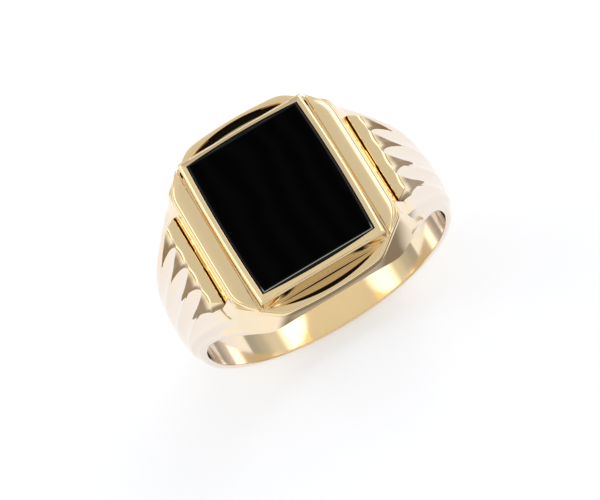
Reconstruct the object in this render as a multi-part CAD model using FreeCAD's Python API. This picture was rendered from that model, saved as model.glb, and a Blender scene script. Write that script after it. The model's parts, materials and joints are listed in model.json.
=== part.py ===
"""Man's signet ring: gold body with fluted shoulders, set with a rectangular black onyx.

Millimetres. The origin is the centre of the finger hole. +Z points up through the stone,
Y runs along the finger and X runs across it, from shoulder to shoulder. The ring is the
same on both sides of the X = 0 plane.
"""
import FreeCAD, Part
import math
import os
from FreeCAD import Vector

# ---- driving dimensions -------------------------------------------------------------
BORE_RADIUS = 9.9          # finger hole, a man's US size 10
SEAT_Z = 10.45             # flat saddle on top of the shank, where the head is soldered on
RIM_TOP_Z = 11.0           # top of the octagonal head frame
RAIL_TOP_Z = 11.45         # top of the two side rails
BEZEL_SHOULDER_Z = 11.5    # lower, outer edge of the bezel's sloping face
STONE_EDGE_Z = 12.2        # where the bezel's lip meets the stone
STONE_TOP_Z = 12.3         # middle of the stone's table

HEAD_SIDE_X = 6.65         # octagon: half width across the finger
HEAD_FRONT_Y = 7.3         # octagon: half length along the finger, at the cut corners
HEAD_BOW = 0.25            # how far the front and back walls bow out at their middles
HEAD_CORNER_X = 3.9        # octagon: where each cut corner meets the front wall
HEAD_CORNER_Y = 5.1        # octagon: where each cut corner meets the side wall
HEAD_FOOT_Z = 7.0          # the head's walls run down to here, and so into the finger hole

STONE_HALF_X = 4.6         # visible stone, half size across the finger
STONE_HALF_Y = 5.5         # visible stone, half size along the finger
STONE_BOW = 0.15           # how far each long side of the stone bows outwards
STONE_TUCK = 0.33          # how far the stone runs on under the bezel's lip
FIT_GAP = 0.02             # clearance between the stone, its bezel and the head

BEZEL_SIDE = 0.55          # width of the bezel's sloping face beside the stone
BEZEL_END = 0.72           # width of the bezel's sloping face in front and behind
SHELF_WIDTH = 0.45         # bearing that the stone stands on
SHELF_THICKNESS = 0.3
GIRDLE_DROP = 0.25         # the stone's widest part is this far below the bezel's shoulder
TABLE_BEVEL = 0.16         # narrow bevel around the stone's table
RAIL_GROOVE = 0.18         # fine groove between the bezel and each rail
RAIL_EDGE_IN = 0.08        # the rail's outer edge stands in from the head's side by this
RAIL_BOW = 0.2             # the rail is narrower at its ends by this
RAIL_ROUND = 0.2           # rounding along the rail's outer edge
RAIL_END_IN = 0.1          # the rail's ends stand in from the cut corners by this

RECESS_HALF = 4.6          # half length of the hollow in front of and behind the bezel
RECESS_DEPTH = 0.42
RECESS_WALL = 0.24         # width of the rim left outside the hollow, at its middle

PLATE_RISE = 0.38          # how far a shoulder plate stands above the shoulder
PLATE_SLOT = 0.28          # slot between the head's side and the plate
PLATE_HALF_LENGTH = 3.9
PLATE_CORNER = 0.35        # the plate keeps its full length this far out from its inner edge
PLATE_SKIN = 0.5           # the plate starts no closer to the finger hole than this
PLATE_ANGLES = (20, 80)    # stretch of the shoulder that the plate is cut from
FLUTE_COUNT = 5            # hollow flutes that run down each shoulder
FLUTE_SHIFT = 0.2          # the fan of flutes sits this far behind the middle
FLUTE_PITCH = 1.55         # distance between flutes, level with the tips of the plate's teeth
FLUTE_RADIUS = 0.8
FLUTE_DEPTH = 0.32
FLUTE_TOP = 52             # degrees around the finger hole where the flutes begin
FLUTE_TIP = 38             # where the teeth end
FLUTE_END = 4              # where the flutes run out
FLUTE_SPREAD_UP = 0.017    # growth of the pitch for each degree above the tips
FLUTE_SPREAD_DOWN = 0.006  # shrinkage of the pitch for each degree below them
TOOTH_TIP_X = 9.15         # how far out the plate's teeth reach
NOTCH_X = 7.95             # where the notches between the teeth begin, each over a flute
NOTCH_RADIUS = 0.42

# Shank and shoulders. Each station is an angle around the finger hole, in degrees, with
# 0 at the side and 90 under the stone. Then come half the width at the hole's edge, half
# the width of the outer face, three radii (edge, side of the outer face and crest), and how
# far the flank between edge and face swells from a straight line.
STATIONS = (
    (-90, 2.85, 1.60, 10.65, 11.05, 11.25, 0.10),
    (-60, 2.88, 1.65, 10.62, 11.00, 11.22, 0.10),
    (-25, 2.98, 1.85, 10.50, 10.90, 11.12, 0.10),
    (0, 3.12, 2.30, 10.40, 10.82, 11.06, 0.10),
    (20, 3.60, 2.85, 10.35, 10.88, 11.16, 0.08),
    (38, 4.80, 3.70, 10.30, 11.05, 11.45, 0.00),
    (50, 5.90, 4.40, 10.25, 11.30, 11.78, -0.16),
    (62, 6.80, 5.00, 10.25, 11.25, 11.50, -0.20),
    (76, 7.20, 6.00, 10.20, 10.32, 10.42, -0.05),
    (90, 7.40, 6.60, 10.20, 10.22, 10.24, 0.00),
)
ANGLE, WIDTH, FACE, EDGE_RADIUS, SIDE_RADIUS, CREST_RADIUS, SWELL = range(7)
SECTION_STEP = 10          # degrees between the shank's cross-sections
INSIDE_RADIUS = 9.0        # sections run on to here, and the finger hole is cut through them
WELL_CLEAR = 4 * HEAD_FRONT_Y   # longer than the ring, for tools that cut right through it


# ---- shank and shoulders ------------------------------------------------------------
def slope(column, index):
    """Slope of a station column at one station, for a smooth curve through them all."""
    if index in (0, len(STATIONS) - 1):
        return 0.0
    before, after = STATIONS[index - 1], STATIONS[index + 1]
    return (after[column] - before[column]) / (after[ANGLE] - before[ANGLE])


def station_value(column, angle):
    """A dimension of the shank at any angle, on a smooth curve through the stations."""
    index = 0
    while index < len(STATIONS) - 2 and angle > STATIONS[index + 1][ANGLE]:
        index += 1
    start, end = STATIONS[index], STATIONS[index + 1]
    run = end[ANGLE] - start[ANGLE]
    t = (angle - start[ANGLE]) / run
    return ((2 * t**3 - 3 * t**2 + 1) * start[column]
            + (t**3 - 2 * t**2 + t) * run * slope(column, index)
            + (3 * t**2 - 2 * t**3) * end[column]
            + (t**3 - t**2) * run * slope(column, index + 1))


def around(angle, radius, y):
    """A point given by its angle around the finger hole, its radius and its place along Y."""
    turn = math.radians(angle)
    return Vector(radius * math.cos(turn), y, radius * math.sin(turn))


def face_radius(angle, y):
    """Radius of the outer face, which is an arc across the shank."""
    half = station_value(FACE, angle)
    side = station_value(SIDE_RADIUS, angle)
    rise = station_value(CREST_RADIUS, angle) - side
    crown = (half**2 + rise**2) / (2 * rise)
    return side + rise - crown + math.sqrt(crown**2 - y**2)


def shank_section(angle, rise):
    """Closed cross-section of the shank, with its outer face raised by rise."""
    width = station_value(WIDTH, angle)
    half = station_value(FACE, angle)
    edge = station_value(EDGE_RADIUS, angle)
    side = station_value(SIDE_RADIUS, angle) + rise
    crest = station_value(CREST_RADIUS, angle) + rise
    middle_y = (width + half) / 2
    middle_r = (edge + side) / 2
    length = math.hypot(width - half, side - edge)
    swell = station_value(SWELL, angle)
    bulge_y = middle_y + swell * (side - edge) / length
    bulge_r = middle_r + swell * (width - half) / length

    def point(y, radius):
        return around(angle, radius, y)

    def flank(end):
        curve = Part.BSplineCurve()
        curve.interpolate([point(end * width, edge), point(end * bulge_y, bulge_r),
                           point(end * half, side)])
        return curve.toShape()

    edges = [
        Part.makeLine(point(-width, INSIDE_RADIUS), point(-width, edge)),
        flank(-1),
        Part.Arc(point(-half, side), point(0, crest), point(half, side)).toShape(),
        flank(1),
        Part.makeLine(point(width, edge), point(width, INSIDE_RADIUS)),
        Part.makeLine(point(width, INSIDE_RADIUS), point(-width, INSIDE_RADIUS)),
    ]
    return Part.Wire(edges)


def half_shank(rise, first=-90, last=90):
    """The right half of the shank, lofted through its cross-sections."""
    angles = range(first, last + 1, SECTION_STEP)
    return Part.makeLoft([shank_section(angle, rise) for angle in angles], True, False)


def mirrored(shape):
    return shape.mirror(Vector(0, 0, 0), Vector(1, 0, 0))


def cylinder_along_y(radius):
    return Part.makeCylinder(radius, WELL_CLEAR, Vector(0, -WELL_CLEAR / 2, 0), Vector(0, 1, 0))


def flute_y(number, angle):
    """Place of a flute along Y, counted from front to back. The flutes fan out towards the head."""
    above = angle - FLUTE_TIP
    spread = 1 + above * (FLUTE_SPREAD_UP if above > 0 else FLUTE_SPREAD_DOWN)
    return FLUTE_SHIFT + FLUTE_PITCH * spread * (number - (FLUTE_COUNT - 1) / 2)


def flute_cutter(number):
    """A round bar laid along one flute. It rises out of the shank as it runs down."""
    points = []
    stops = 5
    for step in range(stops):
        angle = FLUTE_TOP + (FLUTE_END - FLUTE_TOP) * step / (stops - 1)
        y = flute_y(number, angle)
        depth = FLUTE_DEPTH * min(1.0, (angle - FLUTE_END) / (FLUTE_TIP - FLUTE_END))
        points.append(around(angle, face_radius(angle, y) + FLUTE_RADIUS - depth, y))
    path = Part.BSplineCurve()
    path.interpolate(points)
    start_direction = path.tangent(path.FirstParameter)[0]
    circle = Part.Circle(points[0], start_direction, FLUTE_RADIUS)
    return Part.Wire([path.toShape()]).makePipeShell([Part.Wire([circle.toShape()])], True, True)


def octagon(z):
    """Outline of the head at one height: eight sides, of which front and back are bowed."""
    edges = []
    for end in (1, -1):
        side = Vector(end * HEAD_SIDE_X, end * HEAD_CORNER_Y, z)
        corner = Vector(end * HEAD_CORNER_X, end * HEAD_FRONT_Y, z)
        middle = Vector(0, end * (HEAD_FRONT_Y + HEAD_BOW), z)
        far_corner = Vector(-end * HEAD_CORNER_X, end * HEAD_FRONT_Y, z)
        far_side = Vector(-end * HEAD_SIDE_X, end * HEAD_CORNER_Y, z)
        next_side = Vector(-end * HEAD_SIDE_X, -end * HEAD_CORNER_Y, z)
        edges.append(Part.makeLine(side, corner))
        edges.append(Part.Arc(corner, middle, far_corner).toShape())
        edges.append(Part.makeLine(far_corner, far_side))
        edges.append(Part.makeLine(far_side, next_side))
    return Part.Wire(edges)


def shank():
    """Band, shoulders and the octagonal saddle that carries the head, in one forging."""
    half = half_shank(0)
    for number in range(FLUTE_COUNT):
        half = half.cut(flute_cutter(number))
    saddle = Part.Face(octagon(HEAD_FOOT_Z)).extrude(Vector(0, 0, SEAT_Z - HEAD_FOOT_Z))
    body = half.fuse(mirrored(half)).fuse(saddle)
    corner = Vector(-WELL_CLEAR / 2, -WELL_CLEAR / 2, SEAT_Z)
    above = Part.makeBox(WELL_CLEAR, WELL_CLEAR, WELL_CLEAR, corner)
    return body.cut(above).cut(cylinder_along_y(BORE_RADIUS))


# ---- shoulder plates ----------------------------------------------------------------
def plate_outline(z):
    """Plan of the right shoulder plate: straight inside, toothed outside."""
    inner_x = HEAD_SIDE_X + PLATE_SLOT
    corner_x = inner_x + PLATE_CORNER
    tips = [Vector(TOOTH_TIP_X, flute_y(number + 0.5, FLUTE_TIP), z)
            for number in range(FLUTE_COUNT - 1)]
    start = Vector(inner_x, -PLATE_HALF_LENGTH, z)
    corner = Vector(corner_x, -PLATE_HALF_LENGTH, z)
    edges = [Part.makeLine(start, corner), Part.makeLine(corner, tips[0])]
    for number in range(1, FLUTE_COUNT - 1):
        tip, next_tip = tips[number - 1], tips[number]
        y = flute_y(number, FLUTE_TOP)
        enter = Vector(NOTCH_X + NOTCH_RADIUS, y - NOTCH_RADIUS, z)
        nose = Vector(NOTCH_X, y, z)
        leave = Vector(NOTCH_X + NOTCH_RADIUS, y + NOTCH_RADIUS, z)
        edges.append(Part.makeLine(tip, enter))
        edges.append(Part.Arc(enter, nose, leave).toShape())
        edges.append(Part.makeLine(leave, next_tip))
    far_corner = Vector(corner_x, PLATE_HALF_LENGTH, z)
    far_start = Vector(inner_x, PLATE_HALF_LENGTH, z)
    edges.append(Part.makeLine(tips[-1], far_corner))
    edges.append(Part.makeLine(far_corner, far_start))
    edges.append(Part.makeLine(far_start, start))
    return Part.Wire(edges)


def right_shoulder_plate(body):
    """Raised toothed plate soldered on the shoulder. Its teeth lie in the valleys."""
    column = Part.Face(plate_outline(0)).extrude(Vector(0, 0, RAIL_TOP_Z))
    under_the_skin = cylinder_along_y(BORE_RADIUS + PLATE_SKIN)
    raised = half_shank(PLATE_RISE, *PLATE_ANGLES).cut(under_the_skin)
    return raised.common(column).cut(body)


# ---- head ---------------------------------------------------------------------------
def bowed_outline(half_x, half_y, z, bow=STONE_BOW):
    """Rectangle whose two long sides bow outwards by bow at their middles."""
    corner_x = half_x - bow
    corners = [Vector(corner_x, -half_y, z), Vector(corner_x, half_y, z),
               Vector(-corner_x, half_y, z), Vector(-corner_x, -half_y, z)]
    return Part.Wire([
        Part.Arc(corners[0], Vector(half_x, 0, z), corners[1]).toShape(),
        Part.makeLine(corners[1], corners[2]),
        Part.Arc(corners[2], Vector(-half_x, 0, z), corners[3]).toShape(),
        Part.makeLine(corners[3], corners[0]),
    ])


def bowed_block(half_x, half_y, z_low, z_high):
    outline = bowed_outline(half_x, half_y, z_low)
    return Part.Face(outline).extrude(Vector(0, 0, z_high - z_low))


BEZEL_HALF_X = STONE_HALF_X + BEZEL_SIDE
BEZEL_HALF_Y = STONE_HALF_Y + BEZEL_END


def recess_cutter():
    """Hollow behind the bezel: straight along the bezel, curved along the rim."""
    inner_y = BEZEL_HALF_Y
    floor_z = RIM_TOP_Z - RECESS_DEPTH
    left = Vector(-RECESS_HALF, inner_y, floor_z)
    right = Vector(RECESS_HALF, inner_y, floor_z)
    middle = Vector(0, HEAD_FRONT_Y + HEAD_BOW - RECESS_WALL, floor_z)
    outline = Part.Wire([Part.makeLine(left, right), Part.Arc(right, middle, left).toShape()])
    return Part.Face(outline).extrude(Vector(0, 0, 2 * RECESS_DEPTH))


def head_frame():
    """Octagonal plate soldered on the saddle. The bezel stands in its window."""
    plate = Part.Face(octagon(SEAT_Z)).extrude(Vector(0, 0, RIM_TOP_Z - SEAT_Z))
    window = bowed_block(BEZEL_HALF_X + FIT_GAP, BEZEL_HALF_Y, HEAD_FOOT_Z, STONE_TOP_Z)
    plate = plate.cut(window)
    hollow = recess_cutter()
    return plate.cut(hollow).cut(hollow.mirror(Vector(0, 0, 0), Vector(0, 1, 0)))


def bezel():
    """Collar around the stone, with a bearing below it and a lip leaning in above it."""
    wall = bowed_block(BEZEL_HALF_X, BEZEL_HALF_Y - FIT_GAP, SEAT_Z, BEZEL_SHOULDER_Z)
    lip = Part.makeLoft([bowed_outline(BEZEL_HALF_X, BEZEL_HALF_Y - FIT_GAP, BEZEL_SHOULDER_Z),
                         bowed_outline(STONE_HALF_X + 2 * FIT_GAP, STONE_HALF_Y + 2 * FIT_GAP,
                                       STONE_EDGE_Z)], True, True)
    bearing_x = STONE_HALF_X + STONE_TUCK - SHELF_WIDTH
    bearing_y = STONE_HALF_Y + STONE_TUCK - SHELF_WIDTH
    opening = bowed_block(bearing_x, bearing_y, HEAD_FOOT_Z, STONE_TOP_Z)
    return wall.fuse(lip).cut(opening).cut(stone_body(FIT_GAP)).removeSplitter()


def stone_body(swell=0.0):
    """Stone blank, made larger all round by swell. It has a girdle and a sloping crown."""
    foot_z = SEAT_Z + SHELF_THICKNESS
    girdle_z = BEZEL_SHOULDER_Z - GIRDLE_DROP
    girdle_x = STONE_HALF_X + STONE_TUCK + swell
    girdle_y = STONE_HALF_Y + STONE_TUCK + swell
    girdle = bowed_block(girdle_x, girdle_y, foot_z, girdle_z)
    crown = Part.makeLoft([bowed_outline(girdle_x, girdle_y, girdle_z),
                           bowed_outline(STONE_HALF_X + swell, STONE_HALF_Y + swell, STONE_EDGE_Z)],
                          True, True)
    return girdle.fuse(crown)


def onyx_stone():
    """Black onyx tablet with a narrow bevel around its flat table."""
    table = Part.makeLoft([bowed_outline(STONE_HALF_X, STONE_HALF_Y, STONE_EDGE_Z),
                           bowed_outline(STONE_HALF_X - TABLE_BEVEL, STONE_HALF_Y - TABLE_BEVEL,
                                         STONE_TOP_Z)], True, True)
    return stone_body().fuse(table).removeSplitter()


def setting_cement():
    """Bed of cement that fills the opening in the bearing, under the stone."""
    half_x = STONE_HALF_X + STONE_TUCK - SHELF_WIDTH - FIT_GAP
    half_y = STONE_HALF_Y + STONE_TUCK - SHELF_WIDTH - FIT_GAP
    return bowed_block(half_x, half_y, SEAT_Z, SEAT_Z + SHELF_THICKNESS)


def right_rail():
    """Bar along the right side of the bezel, its outer edge rounded and its ends cut off."""
    inner_x = BEZEL_HALF_X + RAIL_GROOVE
    outer_x = HEAD_SIDE_X - RAIL_EDGE_IN
    end_outer_y = HEAD_CORNER_Y
    cut_run = (HEAD_FRONT_Y - HEAD_CORNER_Y) / (HEAD_SIDE_X - HEAD_CORNER_X)
    end_inner_y = end_outer_y + (outer_x - RAIL_BOW - inner_x) * cut_run - RAIL_END_IN
    front_inner = Vector(inner_x - STONE_BOW, -end_inner_y, RIM_TOP_Z)
    back_inner = Vector(inner_x - STONE_BOW, end_inner_y, RIM_TOP_Z)
    front_outer = Vector(outer_x - RAIL_BOW, -end_outer_y, RIM_TOP_Z)
    back_outer = Vector(outer_x - RAIL_BOW, end_outer_y, RIM_TOP_Z)
    outline = Part.Wire([
        Part.Arc(back_inner, Vector(inner_x, 0, RIM_TOP_Z), front_inner).toShape(),
        Part.makeLine(front_inner, front_outer),
        Part.Arc(front_outer, Vector(outer_x, 0, RIM_TOP_Z), back_outer).toShape(),
        Part.makeLine(back_outer, back_inner),
    ])
    bar = Part.Face(outline).extrude(Vector(0, 0, RAIL_TOP_Z - RIM_TOP_Z))
    outer_top = [edge for edge in bar.Edges
                 if edge.BoundBox.ZMin > RAIL_TOP_Z - FIT_GAP
                 and edge.CenterOfMass.x > outer_x - RAIL_BOW]
    return bar.makeFillet(RAIL_ROUND, outer_top)


# ---- the pieces ---------------------------------------------------------------------
def pieces():
    body = shank()
    plate = right_shoulder_plate(body)
    rail = right_rail()
    return {
        "shank": body,
        "right_shoulder_plate": plate,
        "left_shoulder_plate": mirrored(plate),
        "head_frame": head_frame(),
        "right_rail": rail,
        "left_rail": mirrored(rail),
        "bezel": bezel(),
        "onyx_stone": onyx_stone(),
        "setting_cement": setting_cement(),
    }


os.makedirs("parts", exist_ok=True)
for name, shape in pieces().items():
    shape.exportStep("parts/" + name + ".step")
    print(name, "solids", len(shape.Solids), "valid", shape.isValid(), "volume", round(shape.Volume, 2))
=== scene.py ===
"""Looks of the man's signet ring: polished gold, black onyx, and a plain white studio.

Sizes are in millimetres in the ring's own frame, and become metres when a mesh is made.
+Z points up through the stone, Y runs along the finger, X across it.
"""
import json
import math

import bmesh
import bpy
import numpy as np
from mathutils import Matrix, Vector


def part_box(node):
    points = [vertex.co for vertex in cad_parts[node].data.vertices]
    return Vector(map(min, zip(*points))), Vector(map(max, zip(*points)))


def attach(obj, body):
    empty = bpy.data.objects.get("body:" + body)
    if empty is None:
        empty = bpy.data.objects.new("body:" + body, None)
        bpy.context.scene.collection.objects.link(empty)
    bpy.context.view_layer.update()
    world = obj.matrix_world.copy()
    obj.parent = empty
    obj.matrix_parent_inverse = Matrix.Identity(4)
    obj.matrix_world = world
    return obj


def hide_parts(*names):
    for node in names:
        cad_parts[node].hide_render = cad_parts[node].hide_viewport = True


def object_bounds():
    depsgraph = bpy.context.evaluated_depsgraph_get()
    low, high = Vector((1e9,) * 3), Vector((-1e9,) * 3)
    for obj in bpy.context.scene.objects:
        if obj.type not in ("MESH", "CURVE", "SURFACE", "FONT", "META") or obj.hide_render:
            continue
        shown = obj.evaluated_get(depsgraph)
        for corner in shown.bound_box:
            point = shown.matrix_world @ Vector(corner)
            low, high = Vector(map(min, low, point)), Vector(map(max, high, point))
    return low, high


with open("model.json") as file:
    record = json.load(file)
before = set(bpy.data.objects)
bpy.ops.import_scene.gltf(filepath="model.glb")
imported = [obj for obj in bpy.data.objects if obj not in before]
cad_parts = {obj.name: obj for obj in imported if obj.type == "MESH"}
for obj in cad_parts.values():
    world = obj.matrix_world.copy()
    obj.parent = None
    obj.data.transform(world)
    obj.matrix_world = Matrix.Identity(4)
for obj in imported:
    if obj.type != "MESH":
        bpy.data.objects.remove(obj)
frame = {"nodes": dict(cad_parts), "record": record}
cad_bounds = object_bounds()
MM = 0.001


# ---- sizes taken from the frame
def node_box(name):
    """Lowest and highest corner of a CAD node, in millimetres."""
    low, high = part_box(name)
    return np.array(low) / MM, np.array(high) / MM


head_low, head_high = node_box("head_frame")
bezel_high = node_box("bezel")[1]
stone_low, stone_high = node_box("onyx_stone")
rail_low, rail_high = node_box("right_rail")
bore_mount = next(m for m in frame["record"]["mounts"] if m["name"] == "finger_bore")

FLOOR_Z = cad_bounds[0][2] / MM
BORE = bore_mount["dims"]["r_mm"]  # radius of the finger hole
LIP_Z = bezel_high[2]              # top of the bezel
HEAD_X = head_high[0]              # octagon, half width
HEAD_Y = head_high[1]              # octagon, half length at the middle of the bowed front
SEAT_Z = head_low[2]
RIM_Z = head_high[2]
HEAD_BOW = 0.25                    # bow of the front and back walls
CORNER_X = 0.587 * HEAD_X          # where the cut corners meet the front wall
CORNER_Y = 0.675 * HEAD_Y          # where they meet the side walls


# ---- mesh helpers
SHARP_ANGLE = 35                   # degrees: a steeper edge between two faces is drawn sharp
MERGE_DISTANCE = 0.001             # points closer than this become one
TINY = 1e-9                        # keeps a division away from zero


def smooth_shading(mesh, sharp_angle):
    """Smooth shading with sharp edges where two faces meet at more than sharp_angle degrees."""
    mesh.shade_smooth()
    mesh.set_sharp_from_angle(angle=math.radians(sharp_angle))


def make_object(name, points, faces, sharp_angle=SHARP_ANGLE, paint=None):
    """A smooth-shaded mesh object from points in millimetres.

    paint is the name of a layer that a material can read, and one value for each point.
    """
    mesh = bpy.data.meshes.new(name)
    mesh.from_pydata((np.asarray(points) * MM).tolist(), [], faces)
    mesh.validate()
    if paint:
        layer, values = paint
        attribute = mesh.attributes.new(layer, "FLOAT", "POINT")
        attribute.data.foreach_set("value", np.asarray(values, np.float32))
    shell = bmesh.new()
    shell.from_mesh(mesh)
    bmesh.ops.remove_doubles(shell, verts=shell.verts, dist=MERGE_DISTANCE * MM)
    bmesh.ops.recalc_face_normals(shell, faces=shell.faces)
    shell.to_mesh(mesh)
    shell.free()
    smooth_shading(mesh, sharp_angle)
    piece = bpy.data.objects.new(name, mesh)
    bpy.context.scene.collection.objects.link(piece)
    return piece


def grid_faces(rows, columns, close_rows=False, close_columns=False, start=0):
    """Quads over a grid of points stored row by row."""
    faces = []
    for i in range(rows if close_rows else rows - 1):
        this_row = start + i * columns
        next_row = start + (i + 1) % rows * columns
        for j in range(columns if close_columns else columns - 1):
            k = (j + 1) % columns
            faces.append((this_row + j, this_row + k, next_row + k, next_row + j))
    return faces


def ring_of_loops(name, loops, capped=False, sharp_angle=SHARP_ANGLE, paint=None):
    """A surface through closed loops of points. Without caps the last loop joins the first."""
    count = len(loops[0])
    points = np.concatenate(loops)
    faces = grid_faces(len(loops), count, not capped, True)
    if capped:
        faces.append(tuple(range(count))[::-1])
        faces.append(tuple(range(len(points) - count, len(points))))
    return make_object(name, points, faces, sharp_angle, paint)


def closed_sheet(name, top, bottom, sharp_angle=SHARP_ANGLE, paint=None):
    """A solid between two grids of points with the same layout."""
    rows, columns = top.shape[:2]
    points = np.concatenate([top.reshape(-1, 3), bottom.reshape(-1, 3)])
    under = rows * columns
    faces = grid_faces(rows, columns)
    faces += [face[::-1] for face in grid_faces(rows, columns, start=under)]
    edge = [(0, j) for j in range(columns - 1)]
    edge += [(i, columns - 1) for i in range(rows - 1)]
    edge += [(rows - 1, j) for j in range(columns - 1, 0, -1)]
    edge += [(i, 0) for i in range(rows - 1, 0, -1)]
    ids = [i * columns + j for i, j in edge]
    for a, b in zip(ids, ids[1:] + ids[:1]):
        faces.append((b, a, a + under, b + under))
    return make_object(name, points, faces, sharp_angle, paint)


def flat_sheet(name, low_x, high_x, low_y, high_y, z):
    """A level rectangle."""
    corners = [(low_x, low_y, z), (high_x, low_y, z), (high_x, high_y, z), (low_x, high_y, z)]
    return make_object(name, corners, [(0, 1, 2, 3)])


def shares(steps):
    """Even shares from 0 to 1, without the 0."""
    return np.linspace(0, 1, steps + 1)[1:]


def quarter_turn(steps):
    """Even angles up to a right angle, without the 0."""
    return np.linspace(0, math.pi / 2, steps + 1)[1:]


def between(start, end, share):
    """The place at a share of the way from start to end."""
    return start + (end - start) * share


def smoothstep(x, low, high):
    """A soft step from 0 at low to 1 at high."""
    t = np.clip((x - low) / (high - low), 0, 1)
    return t * t * (3 - 2 * t)


def roll(distance, radius):
    """Height of a rounded edge, from 0 at the edge to 1 once distance reaches radius."""
    t = np.clip(1 - distance / radius, 0, 1)
    return np.sqrt(1 - t * t)


def smooth_curve(x, knots, values):
    """A smooth curve through a few knots, for an array of places."""
    knots = np.asarray(knots, float)
    values = np.asarray(values, float)
    slopes = np.gradient(values, knots)
    slopes[0] = slopes[-1] = 0
    i = np.clip(np.searchsorted(knots, x) - 1, 0, len(knots) - 2)
    run = knots[i + 1] - knots[i]
    t = np.clip((x - knots[i]) / run, 0, 1)
    return ((2 * t**3 - 3 * t**2 + 1) * values[i] + (t**3 - 2 * t**2 + t) * run * slopes[i]
            + (3 * t**2 - 2 * t**3) * values[i + 1] + (t**3 - t**2) * run * slopes[i + 1])


# ---- shank
# Stations around the finger hole, in degrees from the side (0) to under the stone (90).
ANGLES = (-90, -60, -25, 0, 20, 38, 50, 62, 76, 90)
STRETCHES = ((-90, 0, 109), (0, 58, 239), (58, 90, 59))    # from, to, steps between sections
HALF_WIDTH = (2.85, 2.88, 2.98, 3.12, 3.60, 4.80, 5.90, 6.80, 7.20, 7.40)
FACE_HALF = (1.60, 1.65, 1.85, 2.30, 2.85, 3.80, 4.60, 5.60, 6.40, 6.60)
RIM_RADIUS = (10.72, 10.68, 10.60, 10.50, 10.48, 10.48, 10.45, 10.35, 10.25, 10.20)
SIDE_RADIUS = (11.05, 11.00, 10.90, 10.82, 10.88, 11.05, 11.32, 11.25, 10.36, 10.24)
CREST_RADIUS = (11.25, 11.22, 11.12, 11.06, 11.16, 11.50, 11.86, 11.60, 10.42, 10.26)
RIM_ROUND = (0.50, 0.48, 0.42, 0.40, 0.38, 0.40, 0.42, 0.30, 0.12, 0.10)
BORE_EDGE = 0.12                   # rounding between the finger hole and the side
BORE_STRIP = 0.04                  # narrow strip of the finger hole beside that rounding
BORE_POINTS, BORE_EDGE_STEPS, RIM_STEPS, FLANK_STEPS, FACE_STEPS = 6, 4, 10, 12, 65
FLANK_POWER = 1.15                 # above 1 the flank starts flatter at the rim
SATIN_FROM_Z = 6.5                 # the finger hole is brushed above this height, under the stone

FLUTES = 5
FLUTE_PITCH = 1.52
FLUTE_SHIFT = 0.20                 # the fan of flutes sits a little towards the back
FLUTE_TIP = 33                     # degrees: the plate's teeth end here
FLUTE_NOSE = 47.5                  # degrees: the rounded upper end of each flute
FLUTE_END = 2
FLUTE_FLARE = 0.42                 # power law of the flute's outline near its nose
FLUTE_DEPTH_ANGLES = (FLUTE_END, 15, 33, 40, 48)
FLUTE_DEPTHS = (0, 0.16, 0.30, 0.26, 0.14)
OUTER_FLUTE_SHARE = 0.65           # the first and last flute have this share of the depth
FLUTE_FADE = 0.5                   # the flutes fade out this close to the edge of the outer face
PITCH_GAIN_ABOVE = 0.017           # the fan widens by this share for each degree above the tips
PITCH_GAIN_BELOW = 0.006           # and narrows by this share for each degree below them


def flute_pitch(angle):
    """Distance between the middles of two flutes."""
    above = angle - FLUTE_TIP
    return FLUTE_PITCH * (1 + above * np.where(above > 0, PITCH_GAIN_ABOVE, PITCH_GAIN_BELOW))


def flute_position(angle, y):
    """Distance from the nearest flute's middle in pitches, and which flute it is."""
    place = (y - FLUTE_SHIFT) / flute_pitch(angle)
    number = np.clip(np.round(place), -(FLUTES // 2), FLUTES // 2)
    return place - number, number


def flute_half(angle):
    """Half width of a flute in pitches: 0 at its nose and 0.5 from the teeth's tips down."""
    t = np.clip((FLUTE_NOSE - angle) / (FLUTE_NOSE - FLUTE_TIP), 0, 1)
    return 0.5 * t ** FLUTE_FLARE


def scallop(angle, y):
    """How deep the flutes are cut at a point of the shoulder."""
    offset, number = flute_position(angle, y)
    half = np.maximum(flute_half(angle), TINY)
    shape = np.clip(1 - (offset / half) ** 2, 0, 1)
    depth = smooth_curve(np.asarray(angle, float), FLUTE_DEPTH_ANGLES, FLUTE_DEPTHS)
    depth = depth * np.where(np.abs(number) == FLUTES // 2, OUTER_FLUTE_SHARE, 1.0)
    return depth * shape * (angle < FLUTE_NOSE) * (angle > FLUTE_END)


def crown(angle, y):
    """Radius of the plain outer face, before the flutes are cut."""
    half = smooth_curve(angle, ANGLES, FACE_HALF)
    side = smooth_curve(angle, ANGLES, SIDE_RADIUS)
    crest = smooth_curve(angle, ANGLES, CREST_RADIUS)
    return crest - (crest - side) * (y / half) ** 2


def shoulder(angle, y):
    """Radius of the finished outer face."""
    half = smooth_curve(angle, ANGLES, FACE_HALF)
    fade = smoothstep(half - np.abs(y), 0, FLUTE_FADE)
    return crown(angle, y) - scallop(angle, y) * fade


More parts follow.
